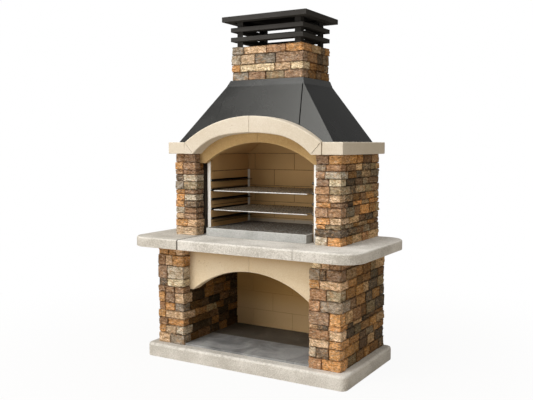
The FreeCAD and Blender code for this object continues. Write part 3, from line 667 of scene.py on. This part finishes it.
def make_plinth():
    low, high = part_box("base_plinth")
    corner, rim, foot = 40 * MM, 16 * MM, 3 * MM
    piece = block("base_plinth_piece", low, high)
    open_mesh(piece)
    pick_edges(piece, lambda middle, run: is_upright(run))
    bevel(corner, 10)
    pick_edges(piece, lambda middle, run: is_level(run) and middle.z > high.z - MM)
    round_edges(piece, rim, 5)
    pick_edges(piece, lambda middle, run: is_level(run) and middle.z < low.z + MM)
    round_edges(piece, foot, 2)
    complete(piece, "base_plinth", CAST_CONCRETE)


def make_worktop_slab(part, material):
    """An outer slab has two large round corners, and all three share the rounded rim.

    The left joint is wide, with its arrises painted dark as the shade inside it, and the right one is tight.
    """
    corner, rim, under = 135 * MM, 11 * MM, 4 * MM
    wide_arris, tight_arris = 4.5 * MM, 2.0 * MM
    node = "worktop_" + part
    low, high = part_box(node)
    joints = {"left": [high.x], "centre": [low.x, high.x], "right": [low.x]}[part]
    outer_x = {"left": low.x, "right": high.x}.get(part)
    piece = block(node + "_piece", low, high)
    open_mesh(piece)
    if outer_x is not None:
        pick_edges(piece, lambda middle, run: is_upright(run) and abs(middle.x - outer_x) < MM)
        bevel(corner, 18)

    def on_rim(middle, run, height):
        away = min(abs(middle.x - x) for x in joints) > MM
        return is_level(run) and abs(middle.z - height) < MM and away

    pick_edges(piece, lambda middle, run: on_rim(middle, run, high.z))
    round_edges(piece, rim, 5)
    pick_edges(piece, lambda middle, run: on_rim(middle, run, low.z))
    round_edges(piece, under, 2)
    for x in joints:
        arris = wide_arris if x < 0.0 else tight_arris
        pick_edges(piece, lambda middle, run: abs(middle.x - x) < MM and abs(run.x) < 0.1)
        bevel(arris, 1)
        # The left joint's arrises are marked, so that the finish paints them dark as shade
        if x < 0.0:
            mark_faces(piece, "joint", 3 * arris)
    complete(piece, node, material)


def make_flat_slab(node, material, rim, segments):
    """A sawn slab with all its edges eased."""
    piece = block(node + "_piece", *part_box(node))
    open_mesh(piece)
    pick_all()
    round_edges(piece, rim, segments)
    complete(piece, node, material)


def make_hearth():
    """A slab whose top is darker up to a light margin, which paints the highlight along the top edge."""
    rim, margin, top_area = 4 * MM, 5 * MM, 0.1
    piece = block("hearth_slab_piece", *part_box("hearth_slab"))
    open_mesh(piece)
    pick_all()
    round_edges(piece, rim, 3)
    bpy.ops.mesh.select_mode(type="FACE")
    pick_faces(piece, lambda middle, normal, area: normal.z > 0.9 and area > top_area)
    bpy.ops.mesh.inset(thickness=margin)
    mark_faces(piece, "dark_top")
    complete(piece, "hearth_slab", HEARTH_STONE)


# Hood

def make_hood_panel(node):
    """A bent sheet; the seam at the right of the front is a deep groove, whose faces the finish paints near
    black as shade.
    """
    base_z, top_z = 1464 * MM, 1838 * MM
    base_x, top_x = 336 * MM, 286 * MM
    base_y, top_y = -213 * MM, -52 * MM
    groove, groove_face, edge, fold = 3.2 * MM, 8 * MM, 0.4 * MM, 50.0
    piece = copy_node(node)
    open_mesh(piece)

    def on_seam(middle, run):
        share = (middle.z - base_z) / (top_z - base_z)
        beside = middle.x - base_x - (top_x - base_x) * share
        behind = middle.y - base_y - (top_y - base_y) * share
        return abs(run.z) > 0.5 and abs(beside) < 3 * MM and abs(behind) < 1.5 * MM

    pick_edges(piece, on_seam)
    bevel(groove, 1)
    mark_faces(piece, "groove", groove_face)
    round_sharp_edges(piece, edge, fold)
    complete(piece, node, ANTHRACITE)


# Cap

def make_slats(node):
    """A frame of slats whose boards reach inwards as a flat flange."""
    flange, edge = 38 * MM, 1.5 * MM
    low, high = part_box(node)
    centre = (low + high) / 2
    piece = copy_node(node)
    open_mesh(piece, "FACE")

    def looks_inwards(middle, normal, area):
        inwards = (centre.x - middle.x) * normal.x + (centre.y - middle.y) * normal.y
        return is_level(normal) and inwards > 0.0

    pick_faces(piece, looks_inwards)
    bpy.ops.transform.shrink_fatten(value=flange, use_even_offset=True)
    bpy.ops.mesh.select_mode(type="EDGE")
    round_sharp_edges(piece, edge)
    complete(piece, node, DARK_STEEL)


# Bonded walls

def bonded_spans(start, end, bottom, top, course, length):
    """Courses from the top down, as (start, end, bottom, top) of each block, in running bond."""
    spans = []
    high = top
    row = 0
    reach = math.ceil((end - start) / length) + 1
    while high - bottom > MM:
        low = high - course
        if low - bottom < course / 4:
            low = bottom
        middle = (start + end) / 2 + (0.0 if row % 2 == 0 else length / 2)
        cuts = [middle + n * length for n in range(-reach, reach + 1) if length < end - start]
        cuts = [start] + [c for c in cuts if start + SHORTEST_BLOCK < c < end - SHORTEST_BLOCK] + [end]
        for a, b in zip(cuts[:-1], cuts[1:]):
            spans.append((a, b, low, high))
        high = low
        row += 1
    return spans


def make_wall(node, run_axis, course, length, rim, material, shaded_front=False):
    """A wall of separate blocks whose eased arrises show as joints; run_axis is 0 for X and 1 for Y."""
    low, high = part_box(node)
    blocks = []
    for a, b, z0, z1 in bonded_spans(low[run_axis], high[run_axis], low.z, high.z, course, length):
        corner0, corner1 = low.copy(), high.copy()
        corner0[run_axis], corner1[run_axis] = a, b
        corner0.z, corner1.z = z0, z1
        blocks.append(block(node + "_block", corner0, corner1))
    piece = join(blocks, node + "_piece")
    open_mesh(piece)
    pick_all()
    round_edges(piece, rim, 2)
    # Painted shade: the front faces get the edge mark, so that a finish's dark edge colour shades them
    if shaded_front:
        bpy.ops.mesh.select_mode(type="FACE")
        pick_faces(piece, lambda middle, normal, area: normal.y < -0.9)
        mark_faces(piece, "worn_and_shaded_edge")
    complete(piece, node, material)


# Split-stone facing

def stone_islands(mesh):
    """Lists of vertex numbers, one list for each stone."""
    owner = list(range(len(mesh.vertices)))

    def root(k):
        while owner[k] != k:
            owner[k] = owner[owner[k]]
            k = owner[k]
        return k

    for edge in mesh.edges:
        owner[root(edge.vertices[0])] = root(edge.vertices[1])
    groups = {}
    for k in range(len(owner)):
        groups.setdefault(root(k), []).append(k)
    return list(groups.values())


def sort_stones(mesh, front_y, inner_x):
    """Lists (face, vertex numbers) of the stones, face by face and course by course from the top."""
    near_inner, near_front, course_step = 5 * MM, 12 * MM, 30 * MM
    stones = []
    for members in stone_islands(mesh):
        points = [mesh.vertices[k].co for k in members]
        low = Vector([min(p[axis] for p in points) for axis in range(3)])
        high = Vector([max(p[axis] for p in points) for axis in range(3)])
        face = "side"
        if inner_x is not None and min(abs(low.x - inner_x), abs(high.x - inner_x)) < near_inner:
            face = "inner"
        if low.y < front_y + near_front:
            face = "front"
        course = round((low.z + high.z) / course_step)
        stones.append((-course, low.y + high.y, low.x + high.x, face, members))
    stones.sort(key=lambda s: (s[3], s[0], round(s[1], 2), s[2]))
    return [(face, members) for course, y, x, face, members in stones]


def colour_stones(mesh, front_y, inner_x, seed, tones):
    """Draws each stone's kind, with no two of a kind in a row."""
    warmth, seed_range = 0.05, 40.0
    dice = random.Random(seed)
    mesh.attributes.new("stone_colour", "FLOAT_COLOR", "POINT")
    mesh.attributes.new("stone_tone_and_shade", "FLOAT_COLOR", "POINT")
    mesh.attributes.new("stone_seed", "FLOAT", "POINT")
    colours = mesh.attributes["stone_colour"]
    tints = mesh.attributes["stone_tone_and_shade"]
    seeds = mesh.attributes["stone_seed"]
    last = None
    for face, members in sort_stones(mesh, front_y, inner_x):
        shares, spread, tint = STONE_FACES[face]
        kinds = [kind for kind in shares if kind != last]
        last = dice.choices(kinds, [shares[kind] for kind in kinds])[0]
        base = hex_colour(STONE_KINDS[last])
        # The level and the tint hold painted shade on side and inner faces
        level = dice.uniform(*spread) * tones.get(face, 1.0)
        warm = dice.uniform(-warmth, warmth)
        own = (base[0] * (1 + warm), base[1], base[2] * (1 - warm), 1.0)
        number = dice.uniform(0.0, seed_range)
        for k in members:
            colours.data[k].color = own
            tints.data[k].color = (level * tint[0], level * tint[1], level * tint[2], 1.0)
            seeds.data[k].value = number


def stone_numbers(mesh):
    """Which stone each face belongs to, counted in the order of the faces."""
    mesh.faces.index_update()
    numbers = {}
    count = 0
    for first in mesh.faces:
        if first.index in numbers:
            continue
        waiting = [first]
        numbers[first.index] = count
        while waiting:
            face = waiting.pop()
            for edge in face.edges:
                for other in edge.link_faces:
                    if other.index not in numbers:
                        numbers[other.index] = count
                        waiting.append(other)
        count += 1
    return numbers


def push_stones(piece, split_face, dice):
    """Moves the split faces of whole stones in or out by a few millimetres; some stay where they are."""
    numbers = stone_numbers(bmesh.from_edit_mesh(piece.data))
    choices = {number: dice.randrange(len(STONE_STEPS) + 1) for number in sorted(set(numbers.values()))}
    for choice, step in enumerate(STONE_STEPS):
        mesh = bmesh.from_edit_mesh(piece.data)
        numbers = stone_numbers(mesh)
        for face in mesh.faces:
            face.select_set(False)
        for face in mesh.faces:
            if choices[numbers[face.index]] == choice and split_face(face):
                face.select_set(True)
        bmesh.update_edit_mesh(piece.data)
        bpy.ops.transform.shrink_fatten(value=step)


def make_stones(node, seed, front=1.0, side=1.0):
    """Copies the facing stones, rounds the arrises of their faces and splits the faces rough."""
    low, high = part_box(node)
    near, least_area, square = 9 * MM, 200 * MM * MM, 0.9
    piece = copy_node(node)
    open_mesh(piece, "FACE")

    def split_face(middle, normal, area):
        if area < least_area:
            return False
        faces_out = normal.y < -square and middle.y < low.y + near
        faces_out = faces_out or (normal.y > square and middle.y > high.y - near)
        faces_out = faces_out or (normal.x < -square and middle.x < low.x + near)
        return faces_out or (normal.x > square and middle.x > high.x - near)

    def on_split(face):
        return split_face(face.calc_center_median(), face.normal, face.calc_area())

    pick_faces(piece, split_face)
    bpy.ops.mesh.select_mode(type="EDGE")
    round_edges(piece, STONE_ARRIS, 2)
    bpy.ops.mesh.select_mode(type="FACE")
    push_stones(piece, on_split, random.Random(seed))
    pick_faces(piece, split_face)
    bpy.ops.mesh.subdivide(number_cuts=STONE_CUTS)
    bpy.ops.transform.vertex_random(offset=STONE_ROUGHNESS, uniform=0.4, normal=0.7, seed=seed)
    pick_all()
    bpy.ops.transform.vertex_random(offset=STONE_JITTER, uniform=1.0, normal=0.0, seed=seed + 1)
    close_mesh()
    smooth(piece, STONE_ANGLE)
    inner_x = {"left": high.x, "right": low.x}.get(node.split("_")[-1])
    colour_stones(piece.data, low.y, inner_x, seed, {"front": front, "side": side})
    finish_piece(piece, [node], "masonry", SPLIT_STONE)


def make_mortar(core, stones, left_end, right_end, at_back=False):
    """The rough bed behind the facing stones of a core; each end says how far back a side is faced."""
    core_low, core_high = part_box(core)
    low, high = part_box(stones)
    behind, lap, cuts, unevenness = 9.5 * MM, 1 * MM, 9, 1.2 * MM
    x0, x1, y0 = low.x + behind, high.x - behind, low.y + behind
    beds = [((x0, y0, low.z), (x1, core_low.y + lap, high.z))]
    beds.append(((x0, y0, low.z), (core_low.x + lap, left_end, high.z)))
    beds.append(((core_high.x - lap, y0, low.z), (x1, right_end, high.z)))
    if at_back:
        beds.append(((x0, core_high.y - lap, low.z), (x1, high.y - behind, high.z)))
    name = stones.replace("stones", "mortar") + "_piece"
    piece = join([block(name, a, b) for a, b in beds], name)
    open_mesh(piece)
    pick_all()
    bpy.ops.mesh.subdivide(number_cuts=cuts)
    bpy.ops.transform.vertex_random(offset=unevenness, uniform=1.0, normal=0.0, seed=3)
    close_mesh()
    finish_piece(piece, [core], "masonry", MORTAR)


# Grills

def make_rails(node):
    """Angles whose shelves are cut back at the front, so that a grill finds its way in."""
    shelf, cut, edge = 36 * MM, 70 * MM, 0.5 * MM
    low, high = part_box(node)
    inner_x = min(low.x, high.x, key=abs)
    shelf_x = inner_x + math.copysign(shelf, inner_x)
    piece = copy_node(node)
    open_mesh(piece)
    round_sharp_edges(piece, edge)
    pick_all()
    bpy.ops.mesh.bisect(plane_co=(shelf_x, 0.0, 0.0), plane_no=(1.0, 0.0, 0.0))
    pick_edges(piece, lambda middle, run: abs(middle.x - inner_x) < MM and middle.y < low.y + MM)
    bpy.ops.transform.translate(value=(0.0, cut, 0.0))
    complete(piece, node, RAIL_STEEL)


def rod(name, start, end, radius, sides):
    """A round rod between two points with eased ends."""
    start, end = Vector(start), Vector(end)
    run = end - start
    turn = run.to_track_quat("Z", "Y").to_euler()
    drop_selection()
    bpy.ops.mesh.primitive_cylinder_add(vertices=sides, radius=radius, depth=run.length,
                                        location=(start + end) / 2, rotation=turn)
    piece = bpy.context.object
    piece.name = name
    settle()
    along = run.normalized()
    open_mesh(piece)
    pick_edges(piece, lambda middle, direction: abs(direction.dot(along)) < 0.5)
    bevel(radius * 0.3, 1)
    close_mesh()
    return piece


def copies(piece, shifts):
    """Moved copies of a piece, each with its own mesh."""
    made = []
    for shift in shifts:
        twin = piece.copy()
        twin.data = piece.data.copy()
        bpy.context.scene.collection.objects.link(twin)
        take(twin)
        bpy.ops.transform.translate(value=shift)
        settle()
        made.append(twin)
    return made


def make_grill(level):
    """Wires on two side bars, a back bar and cross bars, with a thicker handle bar in front."""
    wires, cross_bars = 31, 2
    front_radius, bar_radius, wire_radius = 4 * MM, 3 * MM, 2 * MM
    front_sides, bar_sides, wire_sides = 12, 10, 8
    node = "grill_" + level
    low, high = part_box(node)
    wire_z = high.z - wire_radius
    bar_z = wire_z - wire_radius - bar_radius
    front_z = wire_z - wire_radius - front_radius
    front_y, back_y = low.y + front_radius, high.y - 2 * bar_radius - bar_radius
    side_x = high.x - bar_radius

    def bar(label, start, end):
        return rod(node + label, start, end, bar_radius, bar_sides)

    front = ((low.x, front_y, front_z), (high.x, front_y, front_z))
    rods = [rod(node + "_front", *front, front_radius, front_sides)]
    rods.append(bar("_back", (low.x, back_y, bar_z), (high.x, back_y, bar_z)))
    rods.append(bar("_side", (-side_x, front_y, bar_z), (-side_x, back_y, bar_z)))
    rods += copies(rods[-1], [(2 * side_x, 0.0, 0.0)])
    step = (back_y - front_y) / (cross_bars + 1)
    for n in range(1, cross_bars + 1):
        y = front_y + n * step
        rods.append(bar("_cross", (-side_x, y, bar_z), (side_x, y, bar_z)))
    pitch = 2 * side_x / (wires + 1)
    first_x = -side_x + pitch
    wire = ((first_x, front_y, wire_z), (first_x, high.y, wire_z))
    first = rod(node + "_wire", *wire, wire_radius, wire_sides)
    rods += [first] + copies(first, [(n * pitch, 0.0, 0.0) for n in range(1, wires)])
    # Every rod but the handle bar is marked for the smoke tint and the painted shade
    for k, piece in enumerate(rods):
        smoked_and_shaded = piece.data.attributes.new("smoked_and_shaded", "FLOAT", "FACE")
        smoked_and_shaded.data.foreach_set("value", [float(k > 0)] * len(piece.data.polygons))
    grill = join(rods, node + "_piece")
    smooth(grill, 50.0)
    finish_piece(grill, [node], level + "_grill", GRILL_CHROME)


def make_masonry():
    make_plinth()
    make_worktop_slab("left", GREY_CONCRETE)
    make_worktop_slab("centre", CAST_CONCRETE)
    make_worktop_slab("right", CAST_CONCRETE)
    make_flat_slab("floor_front", FLOOR_SLATE, 2 * MM, 2)
    make_flat_slab("floor_rear", REAR_SLATE, 2 * MM, 2)
    make_hearth()
    for side in SIDES:
        make_flat_slab("capital_" + side, CREAM_STONE, 5 * MM, 3)
        dress("front_arch_" + side, CREAM_STONE, 2 * MM)
        dress("springer_" + side, CREAM_STONE, 2 * MM)
        dress("lower_arch_" + side, LINTEL_STONE, 2 * MM)
        dress("inner_arch_" + side, INNER_STONE, 2 * MM)
        # The True gives the linings painted shade on their front faces
        make_wall("lining_" + side, 1, 117 * MM, 480 * MM, 3.5 * MM, FIREBRICK, True)
        dress("throat_" + side, FIREBRICK, 2 * MM)
        make_wall("lower_core_" + side, 0, 168 * MM, 400 * MM, 3 * MM, BLOCK_CORE)
        make_wall("upper_core_" + side, 0, 140 * MM, 400 * MM, 3 * MM, SHADED_CORE)
    make_wall("lining_back", 0, 117 * MM, 330 * MM, 2.5 * MM, FIREBACK)
    make_wall("lower_back_wall", 0, 134.4 * MM, 330 * MM, 1.8 * MM, STORE_WALL)
    dress("throat_back", FIREBRICK, 2 * MM)
    dress("chimney_core", BLOCK_CORE, 3 * MM)


def make_metalwork():
    for side in SIDES:
        dress("front_post_" + side, BRIGHT_STEEL, 0.6 * MM)
        dress("rear_post_" + side, BRIGHT_STEEL, 0.6 * MM)
        make_rails("rails_" + side)
        make_hood_panel("hood_side_" + side)
    dress("rail_bolts", BOLT_STEEL, 0.8 * MM)
    make_hood_panel("hood_front")
    dress("hood_back", ANTHRACITE, 1.2 * MM)
    dress("hood_collar", COLLAR, 0.4 * MM)
    dress("cap_posts", DARK_STEEL, 1.5 * MM)
    dress("cap_plate", DARK_STEEL, 2.5 * MM)
    make_slats("cap_slats_lower")
    make_slats("cap_slats_upper")
    make_grill("upper")
    make_grill("lower")


def make_facing():
    short = 2 * MM
    inner_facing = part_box("inner_arch_left")[1].y - short
    upper_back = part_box("upper_core_left")[1].y - short
    make_mortar("upper_core_left", "upper_stones_left", upper_back, inner_facing)
    make_mortar("upper_core_right", "upper_stones_right", inner_facing, upper_back)
    store_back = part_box("lower_back_wall")[0].y - short
    lower_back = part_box("lower_core_left")[1].y - short
    make_mortar("lower_core_left", "lower_stones_left", lower_back, store_back)
    make_mortar("lower_core_right", "lower_stones_right", store_back, lower_back)
    chimney_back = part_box("chimney_core")[1].y
    make_mortar("chimney_core", "chimney_stones", chimney_back, chimney_back, at_back=True)
    # front and side scale the brightness of those faces; the side values are painted shade, deepest on the
    # lower right side under the worktop
    make_stones("upper_stones_left", seed=31, front=0.96)
    make_stones("upper_stones_right", seed=32, front=1.06, side=0.94)
    make_stones("lower_stones_left", seed=33, front=0.87)
    make_stones("lower_stones_right", seed=34, front=1.08, side=0.60)
    make_stones("chimney_stones", seed=35, front=0.87, side=0.70)


# Stage

def seen_directly(tree):
    """One where the camera, a reflection or a clear pane looks, and zero for scattered light."""
    path = put(tree, "ShaderNodeLightPath").outputs
    seen = calc(tree, "MAXIMUM", path["Is Camera Ray"], path["Is Glossy Ray"])
    return calc(tree, "MAXIMUM", seen, path["Is Transmission Ray"])


def make_floor():
    """A floor that looks white, with a faint shade near the object, and throws light like warm paving."""
    below, paving = -0.5 * MM, (0.62, 0.57, 0.50, 1.0)
    drop_selection()
    bpy.ops.mesh.primitive_plane_add(size=40.0, location=(0.0, 0.0, below))
    floor = bpy.context.object
    floor.name = "studio_floor"
    settle()
    material, tree, place = new_finish("studio_floor")
    paint = put(tree, "ShaderNodeBsdfDiffuse", {"Color": paving}).outputs[0]
    white = put(tree, "ShaderNodeEmission", {"Color": (1.0, 1.0, 1.0, 1.0), "Strength": 1.0}).outputs[0]
    away = put(tree, "ShaderNodeVectorMath", {0: place}, operation="LENGTH").outputs["Value"]
    share = times(tree, seen_directly(tree), span(tree, away, 0.8, 3.2, 0.94, 1.0))
    both = put(tree, "ShaderNodeMixShader", {0: share, 1: paint, 2: white}).outputs[0]
    put(tree, "ShaderNodeOutputMaterial", {"Surface": both})
    floor.data.materials.append(material)


def make_world(horizon, zenith):
    """A soft warm sky for the light, and white where it is seen."""
    world = bpy.data.worlds.new("studio")
    bpy.context.scene.world = world
    world.use_nodes = True
    tree = world.node_tree
    tree.nodes.clear()
    direction = put(tree, "ShaderNodeTexCoord").outputs["Generated"]
    strength = span(tree, along_axis(tree, direction, 2), 0.0, 1.0, horizon, zenith)
    sky = {"Color": (1.0, 0.95, 0.88, 1.0), "Strength": strength}
    soft = put(tree, "ShaderNodeBackground", sky).outputs[0]
    white = put(tree, "ShaderNodeBackground", {"Color": (1.0, 1.0, 1.0, 1.0), "Strength": 1.0}).outputs[0]
    both = put(tree, "ShaderNodeMixShader", {0: seen_directly(tree), 1: soft, 2: white}).outputs[0]
    put(tree, "ShaderNodeOutputWorld", {"Surface": both})


def make_lamp(name, place, target, size, watts, colour):
    drop_selection()
    bpy.ops.object.light_add(type="AREA", location=place)
    lamp = bpy.context.object
    lamp.name = name
    lamp.data.shape = "SQUARE"
    lamp.data.size = size
    lamp.data.energy = watts
    lamp.data.color = colour
    lamp.rotation_euler = (Vector(target) - Vector(place)).to_track_quat("-Z", "Y").to_euler()


def make_camera():
    drop_selection()
    bpy.ops.object.camera_add(location=CAMERA_PLACE, rotation=[math.radians(a) for a in CAMERA_TURN])
    camera = bpy.context.object
    camera.data.sensor_fit = "HORIZONTAL"
    camera.data.sensor_width = CAMERA_SENSOR
    camera.data.lens = CAMERA_LENS
    bpy.context.scene.camera = camera


make_masonry()
make_metalwork()
make_facing()
make_floor()
make_world(horizon=0.18, zenith=0.58)
make_lamp("key", (-3.4, -8.25, 9.13), (0.0, 0.0, 1.1), size=5.6, watts=760.0, colour=(1.0, 0.985, 0.96))
make_lamp("top", (0.0, -1.5, 6.0), (0.0, -0.3, 0.8), size=4.0, watts=90.0, colour=(0.98, 0.99, 1.0))
make_lamp("fill", (-3.5, -6.5, 1.2), (0.0, 0.0, 0.9), size=4.0, watts=180.0, colour=(1.0, 0.97, 0.93))
make_lamp("bounce", (4.4, -4.6, 3.4), (0.0, 0.0, 1.0), size=4.0, watts=28.0, colour=(1.0, 0.92, 0.78))
make_camera()
bpy.context.scene.view_settings.view_transform = "Standard"
